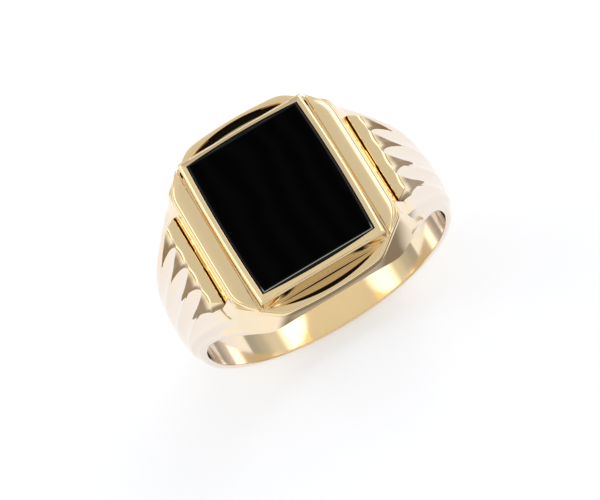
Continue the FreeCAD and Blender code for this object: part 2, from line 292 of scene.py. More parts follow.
def half_section(angle):
    """Half of the shank's cross-section at one angle: finger hole, rim, flank, outer face."""
    width = smooth_curve(angle, ANGLES, HALF_WIDTH)
    face = smooth_curve(angle, ANGLES, FACE_HALF)
    rim = smooth_curve(angle, ANGLES, RIM_RADIUS)
    rounding = smooth_curve(angle, ANGLES, RIM_ROUND)
    rim_foot = BORE + BORE_EDGE
    bore_end = width - BORE_EDGE
    y, r = [], []
    y.append(np.append(np.linspace(0, bore_end - BORE_STRIP, BORE_POINTS), bore_end))
    r.append(np.full(BORE_POINTS + 1, BORE))
    turn = quarter_turn(BORE_EDGE_STEPS)
    y.append(bore_end + BORE_EDGE * np.sin(turn))
    r.append(BORE + BORE_EDGE * (1 - np.cos(turn)))
    turn = quarter_turn(RIM_STEPS)
    y.append(width - rounding + rounding * np.cos(turn))
    r.append(between(rim_foot, rim, np.sin(turn)))
    t = shares(FLANK_STEPS)
    y.append(between(width - rounding, face, t))
    r.append(between(rim, shoulder(angle, face), t ** FLANK_POWER))
    across = face * np.linspace(1, 0, FACE_STEPS + 1)[1:]
    y.append(across)
    r.append(shoulder(angle, across))
    return np.concatenate(y), np.concatenate(r)


def shank_band():
    """Band and shoulders all the way round, as one closed surface."""
    top_angle = STRETCHES[-1][1]
    right = np.concatenate([np.linspace(*stretch, endpoint=False) for stretch in STRETCHES]
                           + [[top_angle]])
    folded = np.concatenate([right, right[-2:0:-1]])
    around = np.concatenate([right, 180 - right[-2:0:-1]])
    rows = []
    for angle, turn in zip(folded, np.radians(around)):
        y, r = half_section(float(angle))
        y = np.concatenate([y, -y[-2:0:-1]])
        r = np.concatenate([r, r[-2:0:-1]])
        rows.append(np.stack([r * math.cos(turn), y, r * math.sin(turn)], 1))
    return ring_of_loops("shank_band", rows)


OCTAGON_POWER = 60.0               # rounds the octagon's corners slightly
SEAT_CUT_IN, SEAT_FRONT_IN = 0.04, 0.03    # the head's foot stands in by this from the octagon
BLOCK_FLARE_SIDE = 1.6             # the saddle's foot reaches past the octagon's sides by this
BLOCK_FLARE_CUT = 0.62             # and past its cut corners by this
BLOCK_SKIN = BORE + 0.16           # its hidden underside keeps this radius
BLOCK_LOW_Z = 6.7                  # its foot ends no lower than this
BLOCK_LOOPS = 9
UNDERSIDE_SHARES = (0.8, 0.6, 0.4, 0.2, 0.05)    # loops across the underside, by size


def octagon_reach(turn, side, cut, front):
    """Distance from the middle to the octagon's edge in each direction, with its walls moved in."""
    cos, sin = np.abs(np.cos(turn)), np.abs(np.sin(turn))
    side_reach = (HEAD_X - side) / np.maximum(cos, TINY)
    run_x, run_y = HEAD_X - CORNER_X, (HEAD_Y - HEAD_BOW) - CORNER_Y
    length = math.hypot(run_x, run_y)
    constant = (run_y * HEAD_X + run_x * CORNER_Y) / length - cut
    cut_reach = constant * length / (run_y * cos + run_x * sin)
    middle = HEAD_Y - front
    bow = HEAD_BOW / CORNER_X**2
    end_reach = 2 * middle / (sin + np.sqrt(sin**2 + 4 * bow * cos**2 * middle))
    reaches = (side_reach, cut_reach, end_reach)
    nearest = np.minimum.reduce(reaches)
    total = sum((nearest / reach) ** OCTAGON_POWER for reach in reaches)
    return nearest * total ** (-1 / OCTAGON_POWER)


LOOP_POINTS = 960
DIRECTIONS = np.linspace(0, 2 * math.pi, LOOP_POINTS, endpoint=False)


def octagon_loop(z, side, cut, front):
    """Closed outline of the octagon at height z, with its walls moved in."""
    reach = octagon_reach(DIRECTIONS, side, cut, front)
    z = np.broadcast_to(z, DIRECTIONS.shape)
    return np.stack([reach * np.cos(DIRECTIONS), reach * np.sin(DIRECTIONS), z], 1)


def seat_loop():
    """Outline where the head frame stands on the saddle."""
    return octagon_loop(SEAT_Z, 0.0, SEAT_CUT_IN, SEAT_FRONT_IN)


def head_block():
    """The saddle's walls, running down into the shoulders and ending above the finger hole."""
    foot = octagon_loop(0.0, -BLOCK_FLARE_SIDE, -BLOCK_FLARE_CUT, SEAT_FRONT_IN)
    foot[:, 2] = np.sqrt(np.maximum(BLOCK_SKIN**2 - foot[:, 0]**2, BLOCK_LOW_Z**2))
    walls = [between(foot, seat_loop(), share) for share in np.linspace(0, 1, BLOCK_LOOPS)]
    underside = []
    for share in UNDERSIDE_SHARES:
        loop = foot.copy()
        loop[:, :2] *= share
        loop[:, 2] = np.sqrt(BLOCK_SKIN**2 - loop[:, 0]**2)
        underside.append(loop)
    return ring_of_loops("head_block", underside[::-1] + walls, capped=True)


def fuse(piece, tool):
    """Joins tool to piece as one closed surface and deletes tool."""
    modifier = piece.modifiers.new("fuse", "BOOLEAN")
    modifier.operation = "UNION"
    modifier.solver = "EXACT"
    modifier.object = tool
    bpy.context.view_layer.update()
    ready = piece.evaluated_get(bpy.context.evaluated_depsgraph_get())
    mesh = bpy.data.meshes.new_from_object(ready)
    piece.modifiers.clear()
    piece.data = mesh
    smooth_shading(mesh, SHARP_ANGLE)
    bpy.data.objects.remove(tool)
    return piece


WALL_SLOT, BORE_SLOT = 1, 2        # places in the shank's materials, after the band's at 0
BORE_TOLERANCE = BORE_EDGE / 3     # a face this close to the finger hole's radius belongs to it


def shank(band_gold, wall_gold, bore_gold):
    """Band, shoulders and saddle as one piece, with its own finish on each kind of surface."""
    body = shank_band()
    block = head_block()
    for piece in (body, block):
        for material in (band_gold, wall_gold, bore_gold):
            piece.data.materials.append(material)
    for face in block.data.polygons:
        face.material_index = WALL_SLOT
    body = fuse(body, block)
    for face in body.data.polygons:
        middle = face.center / MM
        on_bore = abs(math.hypot(middle.x, middle.z) - BORE) < BORE_TOLERANCE
        if on_bore and middle.z > SATIN_FROM_Z:
            face.material_index = BORE_SLOT
    body.name = "shank_polished"
    return body


# ---- shoulder plates
PLATE_IN = 7.02                    # inner edge
PLATE_OUT = 9.95                   # no tooth reaches further out than this
PLATE_HALF = 3.83                  # half length at the inner edge
PLATE_TAPER = 0.50                 # the plate shortens by this for each millimetre outwards
PLATE_TOP_Z = 9.86                 # at the inner edge
PLATE_TILT = 0.06                  # fall of the flat top for each millimetre outwards
PLATE_TURN_X = 7.72                # the flat top ends here and the teeth slope down
PLATE_SKIN = 0.25                  # the plate reaches into the shoulder by this
NOSE_REACH = 0.30                  # the flat top reaches further out by this over each flute
TOOTH_RISE = 1.10                  # height of the teeth above the shoulder, where they begin
TOOTH_END_X = 9.9                  # where the teeth would meet the shoulder
WALL_SLOPE = 5.0                   # rise of the plate's walls for each millimetre inwards
END_WALL = 0.35                    # height at which the walls of its two ends start
TOOTH_BLEND, WALL_BLEND = 0.13, 0.04    # softness where the top meets the teeth and the walls
INNER_ROLL, END_ROLL = 0.09, 0.25  # radius of the rolled inner edge and of its two ends
END_LOW, EDGE_LOW = 0.3, 0.25      # how low the rolls of ends and edge may go: 1 is no roll
SLOPE_SHADE = (0.10, 0.65)         # painted shade darkens the teeth between these distances past the flat top
WALL_SHADE = (0.05, 0.14)          # painted shade darkens the walls within these distances of the outline
PLATE_SHARP_ANGLE = 50
PLATE_ROWS, PLATE_COLUMNS, PATH_POINTS, OUTLINE_FILL = 281, 46, 400, 4
FIRST_COLUMNS = (0, 0.012, 0.03)   # close together at the rolled inner edge
LAST_COLUMNS_FROM = 0.06           # the evenly spaced ones start at this share of the way
CREST_GUESS = 11.6                 # first guess at the shoulder's radius
CREST_ROUNDS = 30


def soft_lower(a, b, softness):
    """The lower of two heights, blended smoothly where they cross."""
    return -softness * np.log(np.exp(-a / softness) + np.exp(-b / softness))


def crown_height(x, y):
    """Z of the plain shoulder above points of the plan, by closing in on it step by step."""
    z = np.sqrt(CREST_GUESS**2 - x**2)
    for _ in range(CREST_ROUNDS):
        radius = crown(np.degrees(np.arctan2(z, x)), y)
        z = (z + np.sqrt(radius**2 - x**2)) / 2
    return z


def distance_to(points, outline):
    """Smallest distance from each point to a dense outline, both in a flat layout."""
    gap = points[..., None, :] - outline[None, None, :, :]
    return np.sqrt((gap**2).sum(-1).min(-1))


def plate_half(x):
    """Half length of the plate at a distance from the middle of the ring."""
    return PLATE_HALF - PLATE_TAPER * (x - PLATE_IN)


def shoulder_path():
    """X, angle and length along the middle of the shoulder, from the plate's inner edge outwards."""
    x = np.linspace(PLATE_IN, PLATE_OUT, PATH_POINTS)
    z = crown_height(x, 0 * x)
    length = np.concatenate([[0], np.cumsum(np.hypot(np.diff(x), np.diff(z)))])
    return x, np.degrees(np.arctan2(z, x)), length


def tooth_ends(share, path_x, path_angle):
    """X where each row of the plate ends, which is the first place inside a flute."""
    row_y = share[:, None] * plate_half(path_x)[None, :]
    offset, _ = flute_position(path_angle[None, :], row_y)
    in_flute = np.abs(offset) < flute_half(path_angle)[None, :]
    past_tips = (path_angle < FLUTE_TIP)[None, :]
    return path_x[np.argmax(in_flute | past_tips, axis=1)]


def filled_line(points):
    """A line's points with more of them in between."""
    share = np.linspace(0, 1, OUTLINE_FILL)[None, :, None]
    return between(points[:-1, None], points[1:, None], share).reshape(-1, 2)


def shoulder_plate(side):
    """Raised toothed plate on one shoulder. side is 1 for the right, -1 for the left."""
    path_x, path_angle, path_length = shoulder_path()
    share = np.linspace(-1, 1, PLATE_ROWS)
    end = tooth_ends(share, path_x, path_angle)
    columns = np.concatenate([FIRST_COLUMNS, np.linspace(LAST_COLUMNS_FROM, 1, PLATE_COLUMNS)])
    x = between(PLATE_IN, end[:, None], columns[None, :])
    y = share[:, None] * plate_half(x)
    base = crown_height(x, y)

    # distances to the plate's edges, measured along the slope of the shoulder
    length = np.interp(x, path_x, path_length)
    outline = np.stack([np.interp(end, path_x, path_length), share * plate_half(end)], 1)
    from_teeth = distance_to(np.stack([length, y], 2), filled_line(outline))
    from_end = plate_half(x) - np.abs(y)

    # flat top, sloping teeth and walls: the lowest of the three is the surface
    flat = PLATE_TOP_Z - PLATE_TILT * (x - PLATE_IN) - base
    from_flute, _ = flute_position(np.interp(x, path_x, path_angle), y)
    reach_out = NOSE_REACH * np.cos(math.pi * np.clip(from_flute, -0.5, 0.5)) ** 2
    fall = (TOOTH_END_X - x + reach_out) / (TOOTH_END_X - PLATE_TURN_X)
    teeth = (TOOTH_RISE + crown_height(x, 0 * y) - base) * fall
    wall = np.minimum(WALL_SLOPE * from_teeth, END_WALL + WALL_SLOPE * from_end)
    rise = np.maximum(soft_lower(soft_lower(flat, teeth, TOOTH_BLEND), wall, WALL_BLEND), 0)
    end_edge = between(END_LOW, 1, roll(from_end, END_ROLL))
    edge = roll(x - PLATE_IN, INNER_ROLL) * end_edge
    top = base + rise * between(EDGE_LOW, 1, edge)

    # painted shade: darker gold down the teeth and along the walls
    slope_start, slope_full = (PLATE_TURN_X + past for past in SLOPE_SHADE)
    slope_shade = smoothstep(x - reach_out, slope_start, slope_full)
    wall_shade = 1 - smoothstep(np.minimum(from_teeth, from_end), *WALL_SHADE)
    shade = np.maximum(slope_shade, wall_shade)
    upper = np.stack([side * x, y, top], 2)
    lower = np.stack([side * x, y, base - PLATE_SKIN], 2)
    name = "right_shoulder_plate_polished" if side > 0 else "left_shoulder_plate_polished"
    return closed_sheet(name, upper, lower, PLATE_SHARP_ANGLE, ("shade", np.tile(shade.ravel(), 2)))


# ---- head: frame, bezel, rails, stone
LIP_X, LIP_Y = 4.62, 5.52          # edge of the bezel's lip around the stone
LIP_BOW = 0.20                     # the lip's front and back edges bow outwards by this
BEZEL_GAP = 0.02                   # fine gap between the bezel and its neighbours
BEZEL_X, BEZEL_Y = bezel_high[0] - BEZEL_GAP, bezel_high[1]
RECESS_HALF = 4.6                  # half width of each hollow
RECESS_RIM = 0.33                  # width of the rim in front of it, at the middle
RECESS_DEPTH = 0.36
RECESS_BLEND = 0.6                 # it has its full depth where it is at least this wide
FRAME_IN = (0.02, 0.06, 0.05)      # side, cut and front walls stand in by this at the rim
FRAME_ROLL = (0.12, 0.30, 0.20)    # and the rolled edge takes in this much more
FRAME_ROLL_DROP = 0.40             # height of that rolled edge
FRAME_ROLL_LOOPS = 12
RIM_LEAST = 0.02                   # width that the flat rim keeps everywhere
RIM_SHARES = (0.5, 0.9)            # loops across the flat rim
WINDOW_EDGE = 0.04                 # rounding between the rim and the hollow
WINDOW_EDGE_STEPS = 4
FLAT_DROP = 0.02                   # the window's edge goes down by this more, hollow or not

# Loops from the rim to the bezel: share of the way in, share of the depth.
HOLLOW_WALL = ((0.03, 0.6), (0.12, 0.82), (0.30, 0.93), (0.42, 0.96))
HOLLOW_FLOOR = ((0.47, 0.985), (0.90, 1.0))
HOLLOW_SEAM = ((0.93, 1.0), (1.0, 1.0))
FLOOR_HOLLOW_SHADE = 0.25               # painted shade on the hollow's floor, where 1 is all black
CRESCENT_X = (3.1, 4.1)            # the painted shade on its wall thins out between these


def window_reach(turn):
    """Inner edge of the head frame: the bezel's rectangle, and the curved hollows beyond it."""
    cos, sin = np.abs(np.cos(turn)), np.abs(np.sin(turn))
    box_side = (BEZEL_X + BEZEL_GAP) / np.maximum(cos, TINY)
    box = np.minimum(box_side, BEZEL_Y / np.maximum(sin, TINY))
    sagitta = HEAD_Y - RECESS_RIM - BEZEL_Y
    radius = (RECESS_HALF**2 + sagitta**2) / (2 * sagitta)
    centre = BEZEL_Y + sagitta - radius
    arc = centre * sin + np.sqrt(np.maximum(radius**2 - (centre * cos)**2, 0))
    return np.where(arc * cos < RECESS_HALF, np.maximum(box, arc), box), box


def head_frame():
    """Octagonal frame around the bezel. Its outer edge rolls over, front and back are hollowed."""
    window, box = window_reach(DIRECTIONS)
    cos, sin = np.cos(DIRECTIONS), np.sin(DIRECTIONS)

    def inner_loop(reach, z):
        return np.stack([reach * cos, reach * sin, np.broadcast_to(z, reach.shape)], 1)

    loops = [seat_loop()]
    for turn in np.linspace(0, math.pi / 2, FRAME_ROLL_LOOPS):
        insets = [wall + edge * (1 - math.cos(turn)) for wall, edge in zip(FRAME_IN, FRAME_ROLL)]
        loops.append(octagon_loop(RIM_Z - FRAME_ROLL_DROP * (1 - math.sin(turn)), *insets))
    rim = np.hypot(loops[-1][:, 0], loops[-1][:, 1])
    rim_inner = np.minimum(window, rim - RIM_LEAST)
    for share in RIM_SHARES:
        loops.append(inner_loop(between(rim, rim_inner, share), RIM_Z))
    for turn in quarter_turn(WINDOW_EDGE_STEPS):
        inward, down = WINDOW_EDGE * math.sin(turn), WINDOW_EDGE * (1 - math.cos(turn))
        loops.append(inner_loop(rim_inner - inward, RIM_Z - down))

    hollow = smoothstep(window - box, 0, RECESS_BLEND)
    crescent = hollow * (1 - smoothstep(np.abs(window * cos), *CRESCENT_X))
    depth = FLAT_DROP + RECESS_DEPTH * hollow
    start, end = rim_inner - WINDOW_EDGE, box - BEZEL_GAP
    # painted shade: the hollows' wall, floor and seam are painted black
    hollow_shade = [0 * hollow] * len(loops)
    for profile, black in ((HOLLOW_WALL, crescent), (HOLLOW_FLOOR, FLOOR_HOLLOW_SHADE * hollow),
                           (HOLLOW_SEAM, hollow)):
        for share, sink in profile:
            z = RIM_Z - WINDOW_EDGE - depth * sink
            loops.append(inner_loop(between(start, end, share), z))
            hollow_shade.append(black)
    loops.append(inner_loop(end, SEAT_Z))
    hollow_shade.append(hollow)
    return ring_of_loops("head_frame_polished", loops, paint=("hollow_shade", np.concatenate(hollow_shade)))


SIDE_BOW = 0.15                    # the long sides of bezel and stone bow outwards by this
SIDE_POINTS = 60                   # points along each side of the bezel and the stone


def bowed_loop(half_x, half_y, z, bow_x=SIDE_BOW, bow_y=0.0):
    """Rectangle with bowed sides. Its corners are sharp and its middles reach half_x and half_y."""
    t = np.linspace(-1, 1, SIDE_POINTS, endpoint=False)
    corner_x, corner_y = half_x - bow_x, half_y - bow_y
    swell = 1 - t * t
    right = np.stack([corner_x + bow_x * swell, t * corner_y], 1)
    back = np.stack([-t * corner_x, corner_y + bow_y * swell], 1)
    outline = np.concatenate([right, back, -right, -back])
    z = np.broadcast_to(z, (len(outline), 1))
    return np.concatenate([outline, z], 1)


LEDGE_LIFT = 0.02                  # the bezel's ledge stands above the rim by this
FOOT_IN, FOOT_LIFT = 0.20, 0.10    # its hidden foot: inwards, and above the seat
# From the ledge's outer edge to the wall: inwards at the sides, inwards at the front, upwards.
LEDGE_PROFILE = ((0.0, 0.0, -0.05), (0.01, 0.005, -0.02), (0.02, 0.02, 0.0),
                 (0.03, 0.06, 0.005), (0.035, 0.08, 0.03), (0.038, 0.09, 0.08))
WALL_IN_X, WALL_IN_Y = 0.04, 0.11  # the upright wall stands in from the ledge's edge by this
WALL_STRIP = 0.04                  # narrow strip of the wall under its rounded corner
FACE_DROP = 0.22                   # the sloping face starts this far below the lip
FACE_CORNER = 0.12                 # rounding between the wall and the face
FACE_CORNER_STEPS, FACE_SLOPE_STEPS = 7, 5
FACE_END_OUT, FACE_END_DROP = 0.03, 0.005    # the face ends this near the lip
# Over the lip and down beside the stone: outwards from the lip's edge, down from its top.
LIP_PROFILE = ((0.01, 0.01), (0.0, 0.03), (0.0, 0.10), (0.02, 0.25), (0.33, 0.85))
LIP_BOW_DROPS = (0.28, 0.10)       # the lip's bow grows in between these depths
LIP_BOW_WIDTH = 0.45               # and only this close to the lip
BEZEL_SHARP_ANGLE = 30


def bezel_profile():
    """Half width, half length and height from the hidden foot, over wall and face, to the lip."""
    foot_z = SEAT_Z + FOOT_LIFT
    ledge_z = RIM_Z + LEDGE_LIFT
    wall_x, wall_y = BEZEL_X - WALL_IN_X, BEZEL_Y - WALL_IN_Y
    wall_z = LIP_Z - FACE_DROP - FACE_CORNER
    profile = [(BEZEL_X - FOOT_IN, BEZEL_Y - FOOT_IN, foot_z), (BEZEL_X, BEZEL_Y, foot_z)]
    for in_x, in_y, up in LEDGE_PROFILE:
        profile.append((BEZEL_X - in_x, BEZEL_Y - in_y, ledge_z + up))
    profile.append((wall_x, wall_y, wall_z - WALL_STRIP))
    profile.append((wall_x, wall_y, wall_z))
    for turn in quarter_turn(FACE_CORNER_STEPS):
        inward = FACE_CORNER * (1 - math.cos(turn))
        profile.append((wall_x - inward, wall_y - inward, wall_z + FACE_CORNER * math.sin(turn)))
    face_start = np.array(profile[-1])
    face_end = np.array((LIP_X + FACE_END_OUT, LIP_Y + FACE_END_OUT, LIP_Z - FACE_END_DROP))
    for share in shares(FACE_SLOPE_STEPS):
        profile.append(tuple(between(face_start, face_end, share)))
    for out, down in LIP_PROFILE:
        profile.append((LIP_X + out, LIP_Y + out, LIP_Z - down))
    last_x, last_y, _ = profile[-1]
    profile.append((last_x, last_y, foot_z))
    return profile


def bezel():
    """Collar around the stone: a rounded sloping face that turns down into an upright wall."""
    bow_start, bow_full = (LIP_Z - drop for drop in LIP_BOW_DROPS)
    loops = []
    for half_x, half_y, z in bezel_profile():
        near_lip = smoothstep(z, bow_start, bow_full) * (half_y < LIP_Y + LIP_BOW_WIDTH)
        bow_y = LIP_BOW * near_lip
        loops.append(bowed_loop(half_x, half_y + bow_y, z, bow_y=bow_y))
    return ring_of_loops("bezel_polished", loops, sharp_angle=BEZEL_SHARP_ANGLE)


GIRDLE_OUT, GIRDLE_DROP = 0.28, 0.9    # the stone's hidden girdle: past the lip, and below it
STONE_GAP = 0.01                   # between the stone and the lip
STONE_BEND_DROP = 0.12             # the stone comes out of the lip this far below its top
BEVEL_DROP = 0.08                  # its bevel starts this far below the lip's top
BEVEL_SHARES = (0.15, 0.5, 0.95)   # loops up the bevel
TABLE_IN_X, TABLE_IN_Y = 0.13, 0.03    # the table's edge lies in from the lip by this
TABLE_EDGE_DROP = 0.05             # and this far below the middle of the table
# Loops at the table's edge: inwards, upwards, and 1 where the painted glint is.
GLINT_PROFILE = ((0.0, 0.0, 0), (0.012, 0.012, 1), (0.05, 0.022, 1), (0.062, 0.026, 0))
TABLE_ROLL_X, TABLE_ROLL_Y = 0.5, 0.12    # the table rises to its full height within this
TABLE_STEPS = 11
TABLE_BOW_LOSS = 0.5               # share of the sides' bow that is gone on the flat table
GLINT_Y = (5.3, 5.6)               # the painted glint is on the front edge only: it starts between these
ONYX_SHARP_ANGLE = 14


def onyx():
    """Stone with a flat table, softly rolled long sides, and a bevel along the front and back."""
    top_z = stone_high[2]
    girdle_x, girdle_y = LIP_X + GIRDLE_OUT, LIP_Y + GIRDLE_OUT
    side_x, side_y = LIP_X - STONE_GAP, LIP_Y - STONE_GAP + LIP_BOW
    table_x, table_y, edge_z = LIP_X - TABLE_IN_X, LIP_Y - TABLE_IN_Y, top_z - TABLE_EDGE_DROP
    loops = [bowed_loop(girdle_x, girdle_y, stone_low[2]),
             bowed_loop(girdle_x, girdle_y, LIP_Z - GIRDLE_DROP),
             bowed_loop(side_x, side_y, LIP_Z - STONE_BEND_DROP, bow_y=LIP_BOW)]
    for share in BEVEL_SHARES:
        half_x, half_y = between(side_x, table_x, share), between(side_y, table_y, share)
        z = between(LIP_Z - BEVEL_DROP, edge_z, share)
        loops.append(bowed_loop(half_x, half_y, z, bow_y=LIP_BOW * (1 - share)))
    shine = [0] * len(loops)
    for inward, up, glint in GLINT_PROFILE:
        last_x, last_y, last_z = table_x - inward, table_y - inward, edge_z + up
        loops.append(bowed_loop(last_x, last_y, last_z))
        shine.append(glint)
    for t in shares(TABLE_STEPS):
        z = between(last_z, top_z, 1 - (1 - t)**2)
        bow_x = SIDE_BOW * (1 - TABLE_BOW_LOSS * t)
        loops.append(bowed_loop(last_x - TABLE_ROLL_X * t, last_y - TABLE_ROLL_Y * t, z, bow_x))
        shine.append(0)
    front = smoothstep(-loops[0][:, 1], *GLINT_Y)
    glints = (np.array(shine)[:, None] * front[None, :]).ravel()
    return ring_of_loops("onyx_polished", loops, True, ONYX_SHARP_ANGLE, ("glint", glints))


RAIL_OUT = HEAD_X - 0.10           # outer edge at the middle of the rail
RAIL_IN = rail_low[0] + 0.05
RAIL_END_Y = rail_high[1] + 0.25
RAIL_BOW = 0.06                    # the outer edge is this much nearer to the bezel at the ends
RAIL_TURN = 2.15                   # length over which each end curves in to the bezel
RAIL_TURN_POWER = 1.9
RAIL_TIP = 0.10                    # width left at the very end
RAIL_SUNK = 0.02                   # the rail's underside lies this far below the rim
RAIL_ROWS, RAIL_COLUMNS = 170, 44
COLUMN_POWER = 1.6                 # above 1 the columns crowd towards the outer edge
CROWN_DROP, CROWN_WIDTH = 0.05, 1.25    # the top falls by this over this distance from the bezel
SLANT_DROP, SLANT_WIDTH = 0.12, 0.80    # and again by this, near the outer edge
SLANT_SHARE = 0.9                  # share of a narrow end that the slant may take
CORNER_ROLL, CORNER_SHARE = 0.22, 0.3   # rolled outer edge: radius, and share of a narrow end
OUTER_WALL = 0.20                  # height above the rim that the roll leaves at the edge
BEZEL_SIDE_ROLL = 0.05             # rolled edge beside the bezel
RAIL_END_DROP, RAIL_END_LENGTH = 0.10, 1.2    # the ends dip by this over this length
RAIL_SHARP_ANGLE = 40


def rail(side):
    """Bar beside the bezel: crowned top, rolled outer edge, ends curving in to the bezel."""
    row_y = np.linspace(-RAIL_END_Y, RAIL_END_Y, RAIL_ROWS)
    past_turn = np.maximum(np.abs(row_y) - (RAIL_END_Y - RAIL_TURN), 0) / RAIL_TURN
    bar = RAIL_OUT - RAIL_BOW * (row_y / RAIL_END_Y) ** 2
    outer = bar - (RAIL_OUT - RAIL_IN - RAIL_TIP) * past_turn ** RAIL_TURN_POWER
    outer = outer[:, None]
    width = outer - RAIL_IN
    share = 1 - (1 - np.linspace(0, 1, RAIL_COLUMNS)) ** COLUMN_POWER
    x = between(RAIL_IN, outer, share[None, :])
    y = np.repeat(row_y[:, None], RAIL_COLUMNS, 1)
    to_outer = outer - x
    to_inner = x - RAIL_IN
    top_z = rail_high[2]
    crowning = CROWN_DROP * (to_inner / CROWN_WIDTH) ** 2
    slant = np.minimum(SLANT_WIDTH, SLANT_SHARE * width)
    corner = np.minimum(CORNER_ROLL, CORNER_SHARE * width)
    slanting = SLANT_DROP * np.clip(1 - to_outer / slant, 0, 1)**2
    round_outer = (top_z - RIM_Z - OUTER_WALL) * (1 - roll(to_outer, corner))
    round_inner = BEZEL_SIDE_ROLL * (1 - roll(to_inner, BEZEL_SIDE_ROLL))
    end_drop = RAIL_END_DROP * smoothstep(np.abs(y), RAIL_END_Y - RAIL_END_LENGTH, RAIL_END_Y)
    top = top_z - crowning - slanting - round_outer - round_inner - end_drop
    upper = np.stack([side * x, y, top], 2)
    lower = np.stack([side * x, y, np.full_like(x, RIM_Z - RAIL_SUNK)], 2)
    name = "right_rail_polished" if side > 0 else "left_rail_polished"
    return closed_sheet(name, upper, lower, RAIL_SHARP_ANGLE)


# ---- materials
class Nodes:
    """Small helper that adds nodes to a material or world and joins them."""

    def __init__(self, owner):
        owner.use_nodes = True
        self.tree = owner.node_tree
        self.tree.nodes.clear()

    def add(self, kind, inputs=None, **settings):
        node = self.tree.nodes.new(kind)
        for key, value in settings.items():
            setattr(node, key, value)
        for key, value in (inputs or {}).items():
            socket = node.inputs[key]
            if isinstance(value, bpy.types.NodeSocket):
                self.tree.links.new(value, socket)
            else:
                socket.default_value = value
        return node

    def ramp(self, factor, stops):
        node = self.add("ShaderNodeValToRGB", {"Fac": factor})
        node.color_ramp.interpolation = "EASE"
        elements = node.color_ramp.elements
        while len(elements) < len(stops):
            elements.new(0.5)
        for element, (place, color) in zip(elements, stops):
            element.position = place
            element.color = (*color, 1)
        return node.outputs["Color"]

    def mix(self, factor, a, b):
        node = self.add("ShaderNodeMix", data_type="RGBA", blend_type="MIX")
        for socket, value in ((node.inputs[0], factor), (node.inputs[6], a), (node.inputs[7], b)):
            if isinstance(value, bpy.types.NodeSocket):
                self.tree.links.new(value, socket)
            elif isinstance(value, (int, float)):
                socket.default_value = value
            else:
                socket.default_value = (*value, 1)
        return node.outputs[2]

    def math(self, operation, a, b=0.0):
        node = self.add("ShaderNodeMath", {0: a, 1: b}, operation=operation)
        return node.outputs[0]

    def place(self):
        """The point being shaded, in the piece's own coordinates."""
        return self.add("ShaderNodeTexCoord").outputs["Object"]

    def noise(self, place, scale, detail):
        """Cloudy noise that wanders around 0.5."""
        inputs = {"Vector": place, "Scale": scale, "Detail": detail}
        return self.add("ShaderNodeTexNoise", inputs).outputs["Fac"]

    def rescale(self, value, from_range, to_range, **settings):
        """Carries a value from one range to another and keeps it inside."""
        inputs = {"Value": value, "From Min": from_range[0], "From Max": from_range[1],
                  "To Min": to_range[0], "To Max": to_range[1]}
        return self.add("ShaderNodeMapRange", inputs, **settings).outputs[0]

    def layer(self, name):
        """A layer painted on the mesh. It reads 0 on a piece that has none."""
        return self.add("ShaderNodeAttribute", attribute_name=name).outputs["Fac"]

    def surface(self, inputs):
        """Ends the material with one shaded surface."""
        shader = self.add("ShaderNodeBsdfPrincipled", inputs)
        self.add("ShaderNodeOutputMaterial", {"Surface": shader.outputs[0]})


GOLD = (0.98, 0.775, 0.46)
WARM_GOLD = (GOLD[0], GOLD[1] * 0.985, GOLD[2] * 0.95)
# painted sheen: the colour the gold turns to at a glance
GLANCE_SHEEN_COLOR = (0.88, 0.775, 0.665)
SATIN_GOLD = (0.83, 0.785, 0.70)
DULL_SATIN = tuple(0.95 * part for part in SATIN_GOLD)
PAINTED_SHADE_GOLD = (0.28, 0.175, 0.07)    # painted shade on the teeth's slopes and the plates' walls
CORNER_SHADE = (0.24, 0.15, 0.07)         # painted shade in the corners: brown
CORNER_SHADE_REACH = 0.09                 # how far that painted shade spreads from a corner
CORNER_SHADE_SAMPLES = 8
CORNER_SHADE_OCCLUSION = (0.35, 0.72)     # openness of a corner where the painted shade is full, and none
CORNER_SHADE_AMOUNT = (0.8, 0.0)
GLANCE_FACING = (0.12, 0.60)       # painted sheen: the gold pales between these, from face-on to a glance
HOLLOW_SHADE = (0.010, 0.008, 0.006)    # painted shade in the hollows: black
HAIRLINE_HEIGHT = 0.02
SAND_HEIGHT = 0.05
WHOLE_RANGE = (0.0, 1.0)
ONYX_TILT = (0.9999, 0.97)         # upward part of the normal: on the table, and on the bevel
ONYX_SHINE = (0.008, 0.16)         # shine there
# painted glint: extra shine, and a glow without a lamp
GLINT_SHINE, GLINT_GLOW = 0.5, 0.8


